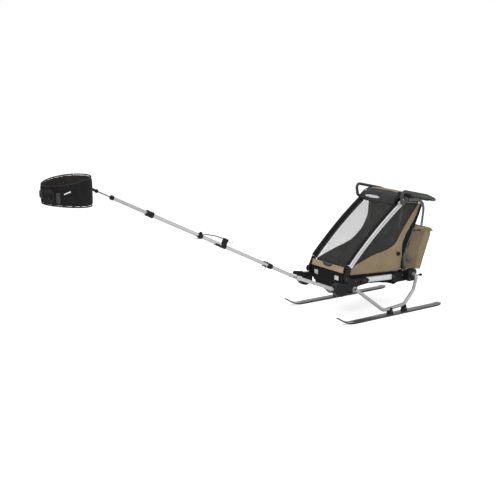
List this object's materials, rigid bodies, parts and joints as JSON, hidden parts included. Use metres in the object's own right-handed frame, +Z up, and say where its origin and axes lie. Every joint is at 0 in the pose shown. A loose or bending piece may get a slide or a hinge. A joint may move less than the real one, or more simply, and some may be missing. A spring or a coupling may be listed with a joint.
{
  "type": "child ski trailer",
  "caption": "Fabric-sided child trailer on a pair of skis, with a folding frame, a push handlebar and a telescopic pulling pole that ends in a padded hip belt.",
  "frame": {"origin": "on the ground, at the centre of the plan box that holds the skis, the cabin, the pole and the belt", "axes": "+Z up, -Y forward towards the hip belt, +X to the trailer's left side, where the pole joins it"},
  "size_m": [0.74, 3.328, 1.2839],
  "materials": {
    "silver_tube": "satin anodised",
    "grey_tube": "matte anodised",
    "black_plastic": "fine grain",
    "grey_plastic": "fine grain",
    "ski_black": "gloss",
    "black_steel": "satin powder coat",
    "black_tube": "satin powder coat",
    "grip_foam": "matte foam",
    "tan_fabric": "coarse weave",
    "black_fabric": "coarse weave",
    "mesh_fabric": "open mesh",
    "webbing": "woven webbing"
  },
  "bodies": {
    "chassis": {"side_rails": "silver_tube", "front_corners": "black_plastic", "left_arm_socket": "black_plastic", "right_arm_socket": "black_plastic", "front_cross_tube": "black_tube", "rear_corners": "black_plastic", "axle_boxes": "black_plastic", "rear_cross_tube": "black_tube", "rear_posts": "grey_plastic", "left_ski": "ski_black", "right_ski": "ski_black", "left_ski_leg": "silver_tube", "right_ski_leg": "silver_tube", "ski_clamps": "black_plastic", "left_side_wall": "tan_fabric", "right_side_wall": "tan_fabric", "side_windows": "mesh_fabric", "front_band": "tan_fabric", "front_panel": "black_fabric", "rear_wall": "black_fabric", "floor_sling": "black_fabric", "seat_cushion": "black_fabric", "backrest": "black_fabric", "cargo_bag": "tan_fabric", "bag_flap": "tan_fabric", "arm_tube": "silver_tube", "lift_fork": "black_plastic"},
    "upper_frame": {"left_pillar": "silver_tube", "right_pillar": "silver_tube", "pillar_feet": "black_plastic", "pillar_caps": "black_plastic", "handle_brackets": "black_plastic", "front_mesh": "mesh_fabric", "roof_visor": "black_fabric", "roof_panel": "tan_fabric"},
    "hoop": {"rear_hoop": "black_tube"},
    "handle": {"handlebar": "black_tube", "handlebar_grip": "grip_foam", "wrist_strap": "webbing"},
    "rear_pole": {"lift_tongue": "black_plastic", "rear_pole_tube": "silver_tube", "swing_fork": "black_plastic"},
    "main_pole": {"swing_tongue": "silver_tube", "main_pole_tube": "silver_tube", "pole_clip": "black_plastic", "pole_knob": "black_plastic", "pole_tether": "webbing", "length_clamp": "black_plastic"},
    "front_pole": {"front_pole_tube": "grey_tube", "pole_end_cap": "black_plastic", "belt_link": "black_steel"},
    "waist_belt": {"hip_belt": "black_fabric", "belt_hitch": "black_plastic"}
  },
  "joints": [
    {"name": "frame_fold", "type": "hinge", "parent": "chassis", "child": "upper_frame", "pos_m": [0, 0.692, 0.334], "axis": [1, 0, 0], "range_deg": [-30, 0], "deforming": ["rear_wall", "backrest", "cargo_bag", "bag_flap", "left_side_wall", "right_side_wall", "side_windows"]},
    {"name": "hoop_fold", "type": "hinge", "parent": "upper_frame", "child": "hoop", "pos_m": [0, 1.318, 0.893], "axis": [1, 0, 0], "range_deg": [-45.5, 0.5]},
    {"name": "handle_tilt", "type": "hinge", "parent": "upper_frame", "child": "handle", "pos_m": [0, 1.308, 0.914], "axis": [1, 0, 0], "range_deg": [-4, 40]},
    {"name": "pole_lift", "type": "hinge", "parent": "chassis", "child": "rear_pole", "pos_m": [0.187, 0.224, 0.409], "axis": [0.9926, -0.1212, 0], "range_deg": [-35, 24]},
    {"name": "pole_swing", "type": "hinge", "parent": "rear_pole", "child": "main_pole", "pos_m": [0.15707, -0.02105, 0.53241], "axis": [0.0542, 0.4438, 0.8945], "range_deg": [-90, 45]},
    {"name": "pole_length", "type": "slide", "parent": "main_pole", "child": "front_pole", "axis": [-0.1084, -0.8879, 0.4471], "range_m": [-0.25, 0.15]},
    {"name": "belt_tilt", "type": "hinge", "parent": "front_pole", "child": "waist_belt", "pos_m": [0.00195, -1.29102, 1.17195], "axis": [0.9926, -0.1212, 0], "range_deg": [-35, 35]}
  ],
  "couplings": [
    {"joint": "hoop_fold", "follows": "frame_fold", "ratio": 1.5}
  ]
}
